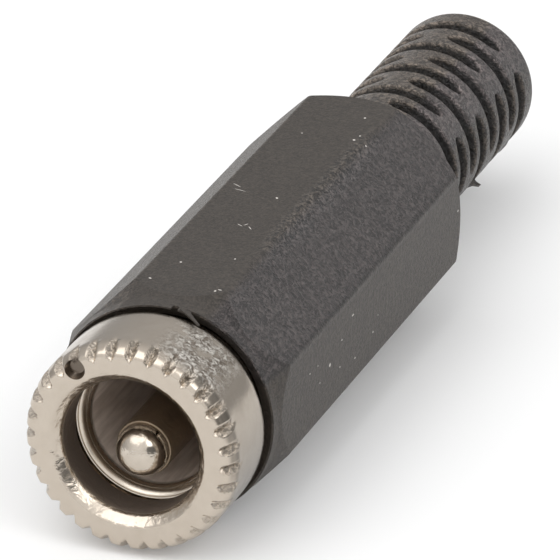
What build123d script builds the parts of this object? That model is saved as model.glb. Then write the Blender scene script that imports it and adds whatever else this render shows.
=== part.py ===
from build123d import *
import math
import os

# Inline DC power socket for 5.5 mm / 2.5 mm plugs, in millimetres.
# It lies on one flat of its eight-sided shell. The mouth faces -Y, the cable end faces +Y, and +Z is up.
# Every piece is drawn with the mouth face at y = 0 and the connector's axis on the Y axis.
# place() then sets it over the origin.

# Collar: turned brass, nickel plated
collar_dia = 9.6
collar_band = 4.0             # length that shows in front of the shell
rim_on_face = 0.38            # worn-round front corner, drawn as a chamfer
rim_on_side = 0.6
collar_rear_break = 0.1
thread_dia = 8.2
thread_length = 6.4
thread_relief = 0.5           # length of the undercut behind the band
thread_relief_depth = 0.3
tail_dia = 7.9
edge_break = 0.2              # chamfers at the ends of threads and turned ends

# Mouth and bore of the collar
lip_bore_dia = 6.2
lip_chamfer = 0.45
lip_length = 2.0
sleeve_bore_dia = 6.75
staking_bore_dia = 7.3        # counterbore that takes the insulator's flange and the earth tag
staking_lip = 0.35            # rolled edge that holds them in: its length and how far it reaches inwards
staking_reach = 0.2

# Coin-edge notches across the front corner of the collar, and a punch mark in its face
notch_count = 32
notch_phase = 9.4             # degrees, from +X towards +Z
notch_on_face = 0.64
notch_on_side = 1.0
notch_half_angle = 57.0
dimple_angle = 124.0
dimple_radius_at = 4.15
dimple_dia = 0.95
dimple_floor_dia = 0.64
dimple_depth = 0.22

# Contact sleeve: rolled spring tube that grips the plug's barrel
sleeve_inner_dia = 5.6
sleeve_recess = 2.5           # depth of its front edge below the mouth face
sleeve_edge_break = 0.1
sleeve_funnel = 0.4           # its inner edge is opened wider, to lead the plug in
sleeve_slit = 0.5
sleeve_slit_angle = 45.0
cavity_depth = 10.0           # mouth face to the insulator's front

# Centre pin
pin_dia = 2.5
pin_offset_x = 0.2            # the pin stands a little off the axis
pin_offset_z = -0.45
pin_recess = 0.25             # mouth face to the tip
pin_ball_dia = 2.2
pin_ball_neck = 0.12          # from the ball's centre back to the pin's shoulder
pin_tail_dia = 1.5
rivet_dia = 2.3
rivet_height = 0.45
rivet_break = 0.3

# Insulator: moulded bush
bush_boss = 1.0               # length of the boss in front of the flange
bush_flange = 0.7
bush_hub_dia = 3.8            # hub behind the flange that the earth tag is centred on

# Earth tag: ring under the staked edge, tongue along the shell's floor, and an open cable clamp
earth_tag_thickness = 0.4
earth_tongue_width = 3.0
earth_tongue_clearance = 1.2  # from its end to the end of the shell's hollow
clamp_length = 3.0
clamp_wrap = 215.0            # degrees of the cable that the open clamp arms reach round

# Washer between the tags, and the pin's tag
washer_thickness = 0.5
pin_tag_thickness = 0.35
pin_tag_width = 2.2
pin_tag_eye_dia = 3.3
pin_tag_rise = 2.6            # from the axis up to the tag's strip
pin_tag_length = 5.8
solder_hole_dia = 1.1
solder_hole_inset = 1.3

# Shell: one moulding, the cover with its strain relief
shell_sides = 8
shell_across_flats = 10.0
shell_gap = 0.25              # left open between the collar's band and the shell
shell_lip_length = 1.7
shell_lip_step = 0.05         # the round lip lies this far under the flats
shell_lead_in = 0.5           # chamfer at the mouth of its thread
shell_body_length = 24.05     # lip included
shell_edge_break = 0.08       # chamfer along the corners between its flats
shell_rear_cone = 0.85
shell_rear_break = 0.25
shell_rear_wall = 1.0
thread_runout = 0.75          # how far the shell's thread bore goes past the collar's thread
cable_bore_dia = 4.6          # throat through the rear wall
throat_length = 1.3
relief_dia = 6.85
relief_bore_dia = 5.0
relief_length = 14.5
relief_end_break = 0.28

# Slots of the strain relief, counted from the cable end
slot_pitch = 1.35
slot_width = 0.84
slots_per_row = 3
slot_web = 22.0               # degrees of rib left between two slots of one row
slot_phase = 96.5             # degrees, middle of the end row's first slot
end_slot_inset = 1.25         # middle of the end row to the cable end
root_slot_inset = 0.9         # least distance from the shell's rear face to the middle of a row

# Clearances
press_gap = 0.02              # between parts that are pressed or clamped together, on the radius
thread_play = 0.05
loose_play = 0.1
cutter_over = 0.5             # how far a cutter runs past what it cuts

# Places that follow from the sizes above
collar_r = collar_dia / 2
staking_r = staking_bore_dia / 2
shell_r = shell_across_flats / 2
relief_r = relief_dia / 2
relief_bore_r = relief_bore_dia / 2
cable_bore_r = cable_bore_dia / 2
thread_start = collar_band + thread_relief
thread_end = thread_start + thread_length
shell_start = collar_band + shell_gap
shell_end = shell_start + shell_body_length
overall_length = shell_end + relief_length
hollow_r = tail_dia / 2 + loose_play
cone_end = shell_end - shell_rear_wall
hollow_end = cone_end - (hollow_r - cable_bore_r)
throat_end = cone_end + throat_length
flange_start = cavity_depth + bush_boss
earth_tag_start = flange_start + bush_flange
earth_tag_end = earth_tag_start + earth_tag_thickness
collar_length = earth_tag_end + staking_lip
earth_tongue_outer = math.sqrt((staking_r - staking_reach - loose_play) ** 2 - (earth_tongue_width / 2) ** 2)
earth_tongue_inner = earth_tongue_outer - earth_tag_thickness
earth_tongue_end = hollow_end - earth_tongue_clearance
washer_end = earth_tag_end + washer_thickness
pin_tag_end = washer_end + pin_tag_thickness
pin_at = Pos(pin_offset_x, 0, pin_offset_z)
pin_ball_y = pin_recess + pin_ball_dia / 2
pin_shoulder_y = pin_ball_y + pin_ball_neck
pin_hole_r = pin_tail_dia / 2 + press_gap


def turned(*points):
    """A turned solid from its half section, given as (radius, y) points."""
    return revolve(make_face(Polyline(*points, close=True)), Axis.Y)


def bar(radius, start, end):
    return turned((0, start), (radius, start), (radius, end), (0, end))


def prism(sketch, start, end):
    """A sketch drawn in X and Z, extruded along the connector's axis."""
    across = Plane(origin=(0, start, 0), x_dir=(1, 0, 0), z_dir=(0, -1, 0))
    return extrude(across * sketch, amount=start - end)


def turn_to(angle):
    """Turns a piece drawn at +X round the axis, towards +Z."""
    return Rot(0, -angle, 0)


def edges_at(solid, y, radius):
    """Round edges of the solid that lie at y and have the radius."""
    return [
        edge for edge in solid.edges().filter_by(GeomType.CIRCLE)
        if abs(edge.arc_center.Y - y) < 1e-4 and abs(edge.radius - radius) < 1e-4
        and abs(edge.center().Y - y) < 1e-4
    ]


def make_notch():
    """The V cutter for one notch, laid across the collar's front corner at +X."""
    run = math.hypot(notch_on_face, notch_on_side)
    along = (notch_on_face / run, notch_on_side / run, 0)
    bottom = (
        collar_r - notch_on_face - along[0] * cutter_over,
        -along[1] * cutter_over,
        0,
    )
    half_width = run * math.tan(math.radians(notch_half_angle))
    vee = Polygon((0, 0), (half_width, run), (-half_width, run), align=None)
    return extrude(Plane(origin=bottom, x_dir=(0, 0, 1), z_dir=along) * vee, amount=run + 2 * cutter_over)


def make_collar():
    thread_r, tail_r = thread_dia / 2, tail_dia / 2
    undercut_r = thread_r - thread_relief_depth
    lip_r, sleeve_r = lip_bore_dia / 2, sleeve_bore_dia / 2
    staked_r = staking_r - staking_reach
    solid = turned(
        (0, 0), (collar_r - rim_on_face, 0), (collar_r, rim_on_side),
        (collar_r, collar_band), (undercut_r, collar_band),
        (undercut_r, thread_start - edge_break), (thread_r, thread_start),
        (thread_r, thread_end - edge_break), (thread_r - edge_break, thread_end),
        (tail_r, thread_end), (tail_r, collar_length), (0, collar_length),
    )
    solid = chamfer(edges_at(solid, collar_band, collar_r), collar_rear_break)
    solid -= turned(
        (0, 0), (lip_r + lip_chamfer, 0), (lip_r, lip_chamfer), (lip_r, lip_length),
        (sleeve_r, lip_length), (sleeve_r, flange_start), (staking_r, flange_start),
        (staking_r, earth_tag_end), (staked_r, earth_tag_end), (staked_r, collar_length), (0, collar_length),
    )
    notch = make_notch()
    step = 360 / notch_count
    solid -= [turn_to(notch_phase + step * i) * notch for i in range(notch_count)]
    dimple = turned((0, 0), (dimple_dia / 2, 0), (dimple_floor_dia / 2, dimple_depth), (0, dimple_depth))
    return solid - turn_to(dimple_angle) * Pos(dimple_radius_at, 0, 0) * dimple


def make_contact_sleeve():
    outer_r, inner_r = sleeve_bore_dia / 2 - press_gap, sleeve_inner_dia / 2
    solid = bar(outer_r, sleeve_recess, cavity_depth) - bar(inner_r, sleeve_recess, cavity_depth)
    solid = chamfer(edges_at(solid, sleeve_recess, outer_r), sleeve_edge_break)
    solid = chamfer(edges_at(solid, sleeve_recess, inner_r), sleeve_funnel)
    slit = prism(Pos(outer_r, 0) * Rectangle(outer_r * 2, sleeve_slit), sleeve_recess, cavity_depth)
    return solid - turn_to(sleeve_slit_angle) * slit


def make_insulator():
    """Moulded bush: boss in the sleeve's bore, flange against the step, hub through the earth tag."""
    boss_r, flange_r = sleeve_bore_dia / 2 - press_gap, staking_r - press_gap
    hub_r = bush_hub_dia / 2
    solid = turned(
        (0, cavity_depth), (boss_r, cavity_depth), (boss_r, flange_start), (flange_r, flange_start),
        (flange_r, earth_tag_start), (hub_r, earth_tag_start), (hub_r, earth_tag_end), (0, earth_tag_end),
    )
    return solid - pin_at * bar(pin_hole_r, cavity_depth, earth_tag_end)


def make_centre_pin():
    """Turned pin: ball tip, shoulder, shaft, and a thin tail that is riveted over the tag."""
    shaft_r, ball_r, rivet_r = pin_dia / 2, pin_ball_dia / 2, rivet_dia / 2
    neck_r = math.sqrt(ball_r ** 2 - pin_ball_neck ** 2)
    rivet_end = pin_tag_end + rivet_height
    ball = Pos(0, pin_ball_y, 0) * Sphere(ball_r) & bar(ball_r, 0, pin_shoulder_y)
    shaft = bar(shaft_r, pin_shoulder_y, cavity_depth)
    shaft = chamfer(edges_at(shaft, pin_shoulder_y, shaft_r), (shaft_r - neck_r) / 2)
    tail = bar(pin_tail_dia / 2, cavity_depth, pin_tag_end)
    head = bar(rivet_r, pin_tag_end, rivet_end)
    head = chamfer(edges_at(head, rivet_end, rivet_r), rivet_break)
    return pin_at * (ball + shaft + tail + head)


def make_earth_tag():
    ring = bar(staking_r - press_gap, earth_tag_start, earth_tag_end)
    ring -= bar(bush_hub_dia / 2 + press_gap, earth_tag_start, earth_tag_end)
    tongue_middle = -(earth_tongue_inner + earth_tongue_outer) / 2
    tongue_section = Pos(0, tongue_middle) * Rectangle(earth_tongue_width, earth_tag_thickness)
    tongue = prism(tongue_section, earth_tag_start, earth_tongue_end)
    clamp_start = earth_tongue_end - clamp_length
    arm_section = make_face(Polyline(
        (earth_tongue_inner, clamp_start), (earth_tongue_outer, clamp_start),
        (earth_tongue_outer, earth_tongue_end), (earth_tongue_inner, earth_tongue_end), close=True,
    ))
    arms = turn_to(clamp_wrap / 2 - 90) * revolve(arm_section, Axis.Y, revolution_arc=clamp_wrap)
    hole = Cylinder(solder_hole_dia / 2, earth_tag_thickness + 2 * cutter_over)
    return ring + tongue + arms - Pos(0, clamp_start - solder_hole_inset, tongue_middle) * hole


def make_washer():
    washer_r = earth_tongue_inner - loose_play
    return bar(washer_r, earth_tag_end, washer_end) - pin_at * bar(pin_hole_r, earth_tag_end, washer_end)


def make_pin_tag():
    """Stamped tag riveted to the pin: eye, riser, and a round-ended strip under the shell's roof."""
    eye = pin_at * bar(pin_tag_eye_dia / 2, washer_end, pin_tag_end)
    riser_height = pin_tag_rise - pin_offset_z
    riser_section = Pos(0, riser_height / 2) * Rectangle(pin_tag_width, riser_height)
    riser = pin_at * prism(riser_section, washer_end, pin_tag_end)
    straight = pin_tag_length - pin_tag_width / 2
    outline = Pos(0, straight / 2) * Rectangle(pin_tag_width, straight)
    outline += Pos(0, straight) * Circle(pin_tag_width / 2)
    outline -= Pos(0, pin_tag_length - solder_hole_inset) * Circle(solder_hole_dia / 2)
    strip = extrude(outline, amount=pin_tag_thickness)
    strip = Pos(pin_offset_x, washer_end, pin_tag_rise - pin_tag_thickness) * strip
    return eye + riser + strip - pin_at * bar(pin_hole_r, washer_end, pin_tag_end)


def make_slots():
    """All slots of the strain relief. Each row is turned half a step from its neighbours."""
    row_count = 1 + int((relief_length - root_slot_inset - end_slot_inset) / slot_pitch)
    step = 360 / slots_per_row
    sweep = step - slot_web
    inner, outer = relief_bore_r - cutter_over, relief_r + cutter_over
    slots = []
    for row in range(row_count):
        middle = overall_length - end_slot_inset - slot_pitch * row
        low, high = middle - slot_width / 2, middle + slot_width / 2
        section = make_face(Polyline((inner, low), (outer, low), (outer, high), (inner, high), close=True))
        slot = revolve(section, Axis.Y, revolution_arc=sweep)
        first = slot_phase + sweep / 2 + (row % 2) * step / 2
        slots += [turn_to(first + step * i) * slot for i in range(slots_per_row)]
    return slots


def make_cover():
    """The eight-sided body with its round lip in front and its coned rear."""
    half_side_angle = 180 / shell_sides
    corner_r = shell_r / math.cos(math.radians(half_side_angle))
    lip_r = shell_r - shell_lip_step
    flats_start = shell_start + shell_lip_length
    flats_length = shell_end - flats_start
    octagon = RegularPolygon(shell_r, shell_sides, major_radius=False, rotation=half_side_angle)
    body = prism(octagon, flats_start, shell_end)
    corners = [edge for edge in body.edges() if abs(edge.length - flats_length) < 1e-3]
    body = chamfer(corners, shell_edge_break)
    body &= turned(
        (0, flats_start), (corner_r, flats_start), (corner_r, shell_end - shell_rear_cone),
        (lip_r, shell_end - shell_rear_break), (lip_r - shell_rear_break, shell_end), (0, shell_end),
    )
    return body + bar(lip_r, shell_start, flats_start)


def make_shell():
    thread_r = thread_dia / 2 + thread_play
    bore_step = thread_end + thread_runout
    relief = bar(relief_r, shell_end, overall_length)
    relief = chamfer(edges_at(relief, overall_length, relief_r), relief_end_break)
    solid = make_cover() + relief - turned(
        (0, shell_start), (thread_r + shell_lead_in, shell_start), (thread_r, shell_start + shell_lead_in),
        (thread_r, bore_step), (hollow_r, bore_step), (hollow_r, hollow_end), (cable_bore_r, cone_end),
        (cable_bore_r, throat_end), (relief_bore_r, throat_end), (relief_bore_r, overall_length - edge_break),
        (relief_bore_r + edge_break, overall_length), (0, overall_length),
    )
    return solid - make_slots()


def place(solid):
    """Sets a piece over the origin, lying on the shell's lower flat."""
    return Pos(0, -overall_length / 2, shell_r) * solid


pieces = {
    "collar": make_collar,
    "contact_sleeve": make_contact_sleeve,
    "insulator": make_insulator,
    "centre_pin": make_centre_pin,
    "earth_tag": make_earth_tag,
    "fibre_washer": make_washer,
    "pin_tag": make_pin_tag,
    "shell": make_shell,
}

os.makedirs("parts", exist_ok=True)
for name, make in pieces.items():
    export_step(place(make()), f"parts/{name}.step")
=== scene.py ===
import math
import bmesh
import bpy
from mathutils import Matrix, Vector


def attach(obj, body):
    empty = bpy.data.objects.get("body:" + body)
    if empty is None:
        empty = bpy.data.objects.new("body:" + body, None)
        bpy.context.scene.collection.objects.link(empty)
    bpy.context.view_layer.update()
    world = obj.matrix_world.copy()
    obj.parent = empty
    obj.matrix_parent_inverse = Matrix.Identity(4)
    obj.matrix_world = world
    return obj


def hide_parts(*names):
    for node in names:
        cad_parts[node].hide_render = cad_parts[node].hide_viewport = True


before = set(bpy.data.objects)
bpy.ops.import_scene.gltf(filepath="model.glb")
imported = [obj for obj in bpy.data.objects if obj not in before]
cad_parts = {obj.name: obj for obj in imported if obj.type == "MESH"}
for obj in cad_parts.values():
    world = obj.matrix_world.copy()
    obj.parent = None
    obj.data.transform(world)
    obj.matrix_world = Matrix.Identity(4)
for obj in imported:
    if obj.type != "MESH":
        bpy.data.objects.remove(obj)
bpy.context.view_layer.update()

# All sizes are in millimetres, drawn as the connector is: mouth face at y = 0, axis on Y, cable end at the back.
MM = 0.001
AXIS_HEIGHT = 5.0
LENGTH = 42.8
PLACE = Vector((0, -LENGTH / 2, AXIS_HEIGHT)) * MM

# Camera: the photograph's own view, found by fitting it to the connector's outlines
CAMERA_AZIMUTH = 20.681
CAMERA_ELEVATION = 24.496
CAMERA_DISTANCE = 336.0
CAMERA_LENS = 491.95
CAMERA_SENSOR = 36.0
CAMERA_TARGET = PLACE + Vector((0.375, 17.28, 0.627)) * MM

# Collar. Its worn-round front corner runs through the points of RIM, from the mouth face to the band.
COLLAR_R = 4.8
COLLAR_BAND = 4.0
RIM = (4.38, 0.0), (4.62, 0.17), (4.8, 0.64)
NOTCHES = 32
NOTCH_PHASE = 9.4             # degrees, from +X towards +Z
NOTCH_ON_FACE = 0.64
NOTCH_ON_SIDE = 1.0
NOTCH_LIPS = 2.7, 3.5, 2.9    # degrees from a notch's valley to its lip, at each point of RIM
NOTCH_END_LIP = 1.1
MARK_ANGLE = 124.0            # the punch mark in the face
MARK_RADIUS_AT = 4.15
MARK_R = 0.475
MARK_FLOOR_R = 0.32
MARK_DEPTH = 0.34

# Contact sleeve and pin
SLEEVE_R = 3.355
SLEEVE_FRONT = 2.5
SLEEVE_BORE_R = 2.8
CAVITY_END = 10.0
SLIT_ANGLE = 45.0
SLIT_WIDTH = 0.5
PIN_X = 0.2
PIN_Z = -0.45
PIN_R = 1.25
PIN_CORNER = 0.07
BALL_R = 1.16
BALL_Y = 1.41
SHOULDER_Y = 1.47
PIN_TAIL_R = 0.75
PIN_TAG_END = 12.95           # the rivet's head lies on the pin's tag
RIVET_R = 1.15
RIVET_ROUND = 0.3
RIVET_END = 13.4

# Shell
SHELL_FRONT = 4.19
LIP_FRONT = 4.44              # where the lip is trimmed back
FLATS_FRONT = 5.95
SHELL_REAR = 28.3
FLAT_R = 5.0
CORNER_R = 5.45               # just outside the eight corners
CORNER_ROUND = 0.1
SHELL_LEAD_IN = 0.7
LIP_R = 4.95
CONE_START = 27.45
REAR_BREAK = 0.25
THREAD_BORE_R = 4.15
THREAD_BORE_END = 11.65
HOLLOW_R = 4.05
HOLLOW_END = 25.55
THROAT_R = 2.3
THROAT_START = 27.3
THROAT_END = 28.6
STUB_R = 3.0                  # the throat's wall inside the relief
RELIEF_R = 3.425
RELIEF_BORE_R = 2.5
RELIEF_END_ROUND = 0.38
SLOT_EDGE_ROUND = 0.1
SLOT_PITCH = 1.35
SLOT_WIDTH = 0.84
SLOT_ROWS = 10
END_SLOT_INSET = 1.75
SLOT_SWEEP = 99.0             # degrees
SLOT_MIDDLE = 96.5            # degrees, middle of the end row's first slot
SLOT_TAPER = 0.3, 0.6, 0.82, 0.95   # share of a slot's width at its end and at each step from it
SHELL_STEPS = 120

# Moulding flaws of the shell, by their angle from +X towards +Z in degrees
KEPT_LIP_ANGLES = 117.5, 165.0
KEPT_LIP_WIDTH = 6.1
CHIP_ANGLE = 83.6
SLIVER_ANGLE = 74.0
FLASH_ANGLE = -38.0

# Light: the directions are from the connector
KEY_DIRECTION = -0.25, -0.41, 0.87
KEY_DISTANCE = 0.6            # metres, as the next one
KEY_SIZE = 0.6
KEY_POWER = 1.6
CARD_DIRECTION = Vector((0.8, -0.46, 0.24)).normalized()
WINDOW_DIRECTION = Vector((0.6, -0.3, 0.68)).normalized()


def add_node(tree, kind, settings=None, **inputs):
    """Adds a node. Settings are its own properties. Inputs are values or sockets, by name or as i0, i1 and so on."""
    node = tree.nodes.new(kind)
    for name, value in (settings or {}).items():
        setattr(node, name, value)
    for name, value in inputs.items():
        key = int(name[1:]) if name[0] == "i" and name[1:].isdigit() else name.replace("_", " ")
        if isinstance(value, bpy.types.NodeSocket):
            tree.links.new(value, node.inputs[key])
        else:
            node.inputs[key].default_value = value
    return node


def linear(hex_colour):
    """An sRGB hex colour as linear RGBA."""
    channels = [int(hex_colour[i:i + 2], 16) / 255 for i in (1, 3, 5)]
    return [c / 12.92 if c <= 0.04045 else ((c + 0.055) / 1.055) ** 2.4 for c in channels] + [1.0]


# Modelling steps

def choose(obj):
    """Makes this the one selected object, and the active one."""
    bpy.ops.object.select_all(action="DESELECT")
    obj.select_set(True)
    bpy.context.view_layer.objects.active = obj


def apply_place(obj):
    choose(obj)
    bpy.ops.object.transform_apply(location=True, rotation=True, scale=True)


def edit(obj):
    choose(obj)
    bpy.ops.object.mode_set(mode="EDIT")


def leave_edit():
    bpy.ops.object.mode_set(mode="OBJECT")


def polar(point):
    """Distance from the axis, angle from +X towards +Z in degrees, and y."""
    return math.hypot(point.x, point.z), math.degrees(math.atan2(point.z, point.x)), point.y


def pick(obj, kind, test):
    """In edit mode, selects the verts, edges or faces that pass the test, and nothing else. Returns how many."""
    bpy.ops.mesh.select_mode(type={"verts": "VERT", "edges": "EDGE", "faces": "FACE"}[kind])
    bpy.ops.mesh.select_all(action="DESELECT")
    mesh = bmesh.from_edit_mesh(obj.data)
    found = [part for part in getattr(mesh, kind) if test(part)]
    for part in found:
        part.select_set(True)
    mesh.select_flush_mode()
    bmesh.update_edit_mesh(obj.data)
    return len(found)


def middle(part):
    return sum((v.co for v in part.verts), Vector()) / len(part.verts)


def draw_section(name, points):
    """Draws a half section as a chain of edges, from a plane merged to one vertex. Stays in edit mode."""
    bpy.ops.object.select_all(action="DESELECT")
    bpy.ops.mesh.primitive_plane_add(size=1, location=(0, 0, 0))
    obj = bpy.context.active_object
    obj.name = obj.data.name = name
    edit(obj)
    bpy.ops.mesh.select_mode(type="VERT")
    bpy.ops.mesh.select_all(action="SELECT")
    bpy.ops.mesh.merge(type="CENTER")
    bpy.ops.transform.translate(value=(points[0][0], points[0][1], 0))
    for (r0, y0), (r1, y1) in zip(points, points[1:]):
        bpy.ops.mesh.extrude_vertices_move(TRANSFORM_OT_translate={"value": (r1 - r0, y1 - y0, 0)})
    return obj


def close_seams(distance=1e-4):
    bpy.ops.mesh.select_all(action="SELECT")
    bpy.ops.mesh.remove_doubles(threshold=distance)
    bpy.ops.mesh.normals_make_consistent(inside=False)


def spin(steps, degrees, copies=False):
    bpy.ops.mesh.spin(steps=steps, dupli=copies, angle=math.radians(degrees), center=(0, 0, 0), axis=(0, 1, 0))


def close_outline(thickness):
    """Fills the drawn outline and extrudes it both ways from its plane."""
    bpy.ops.mesh.select_all(action="SELECT")
    bpy.ops.mesh.remove_doubles(threshold=1e-4)
    bpy.ops.mesh.select_all(action="SELECT")
    bpy.ops.transform.translate(value=(0, 0, -thickness / 2))
    bpy.ops.mesh.edge_face_add()
    bpy.ops.mesh.extrude_region_move(TRANSFORM_OT_translate={"value": (0, 0, thickness)})
    bpy.ops.mesh.select_all(action="SELECT")
    bpy.ops.mesh.normals_make_consistent(inside=False)


def turned(name, points, steps):
    """A turned solid. Its half section starts and ends on the axis, or ends where it starts."""
    obj = draw_section(name, points)
    bpy.ops.mesh.select_all(action="SELECT")
    spin(steps, 360)
    close_seams()
    leave_edit()
    return obj


def arc(centre_r, centre_y, radius, start, end, steps):
    """Points of a round corner in a half section. Angles in degrees, from the outward direction towards +Y."""
    turns = [math.radians(start + (end - start) * i / steps) for i in range(steps + 1)]
    return [(centre_r + radius * math.cos(t), centre_y + radius * math.sin(t)) for t in turns]


def modify(obj, kind, **settings):
    """Adds a modifier and applies it."""
    choose(obj)
    modifier = obj.modifiers.new(kind.lower(), kind)
    for name, value in settings.items():
        setattr(modifier, name, value)
    bpy.ops.object.modifier_apply(modifier=modifier.name)


def combine(obj, other, how):
    """Joins the other solid to this one, cuts it away, or keeps what they share. The other solid is used up."""
    modify(obj, "BOOLEAN", operation=how, solver="EXACT", object=other)
    bpy.data.objects.remove(other)


def soften(obj, width, angle):
    modify(obj, "BEVEL", width=width, segments=3, limit_method="ANGLE", angle_limit=math.radians(angle))


def finish_piece(obj, node, material, smooth=35, even_flats=False):
    """Shades a piece, puts it at its place in the frame, gives it its material, hangs it on the root body and hides
    the CAD node it stands for.
    """
    obj.scale = (MM, MM, MM)
    obj.location = PLACE
    apply_place(obj)
    bpy.ops.object.shade_smooth_by_angle(angle=math.radians(smooth))
    if even_flats:
        modify(obj, "WEIGHTED_NORMAL", keep_sharp=True)
    obj.data.materials.clear()
    obj.data.materials.append(material)
    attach(obj, "root")
    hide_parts(node)


# Materials

def new_material(name):
    material = bpy.data.materials.new(name)
    material.use_nodes = True
    material.node_tree.nodes.clear()
    return material, material.node_tree


def connector_place(tree):
    """Place in millimetres from the middle of the mouth, then y, degrees round the axis, and radius."""
    frame_place = add_node(tree, "ShaderNodeTexCoord").outputs["Object"]
    place = add_node(tree, "ShaderNodeMapping", Vector=frame_place, Location=-PLACE / MM,
                     Scale=[1 / MM] * 3).outputs[0]
    across = add_node(tree, "ShaderNodeVectorMath", {"operation": "MULTIPLY"}, i0=place, i1=(1, 0, 1))
    radius = add_node(tree, "ShaderNodeVectorMath", {"operation": "LENGTH"}, i0=across.outputs[0])
    parts = add_node(tree, "ShaderNodeSeparateXYZ", Vector=place)
    turn = add_node(tree, "ShaderNodeMath", {"operation": "ARCTAN2"}, i0=parts.outputs[2], i1=parts.outputs[0])
    angle = add_node(tree, "ShaderNodeMath", {"operation": "MULTIPLY"}, i0=turn.outputs[0], i1=math.degrees(1))
    return place, parts.outputs[1], angle.outputs[0], radius.outputs["Value"]


def zone(tree, value, low, high, fade):
    """1 where the value lies between low and high, fading to 0 outside."""
    rise = add_node(tree, "ShaderNodeMapRange", {"interpolation_type": "SMOOTHSTEP"},
                    Value=value, From_Min=low - fade, From_Max=low + fade)
    fall = add_node(tree, "ShaderNodeMapRange", {"interpolation_type": "SMOOTHSTEP"},
                    Value=value, From_Min=high + fade, From_Max=high - fade)
    both = add_node(tree, "ShaderNodeMath", {"operation": "MULTIPLY"}, i0=rise.outputs[0], i1=fall.outputs[0])
    return both.outputs[0]


def marks(tree, place, spots):
    """1 inside small marks. Each is its middle in millimetres, its half length, its half width and its turns."""
    total = None
    for middle_at, half_length, half_width, turns in spots:
        shift = add_node(tree, "ShaderNodeVectorMath", {"operation": "SUBTRACT"}, i0=place, i1=middle_at)
        local = add_node(tree, "ShaderNodeMapping", {"vector_type": "TEXTURE"}, Vector=shift.outputs[0],
                         Rotation=[math.radians(t) for t in turns], Scale=(half_width, half_length, half_width))
        far = add_node(tree, "ShaderNodeVectorMath", {"operation": "LENGTH"}, i0=local.outputs[0])
        spot = add_node(tree, "ShaderNodeMapRange", {"interpolation_type": "SMOOTHSTEP"},
                        Value=far.outputs["Value"], From_Min=1.3, From_Max=0.6)
        if total is not None:
            spot = add_node(tree, "ShaderNodeMath", {"operation": "MAXIMUM"}, i0=total, i1=spot.outputs[0])
        total = spot.outputs[0]
    return total


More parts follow.
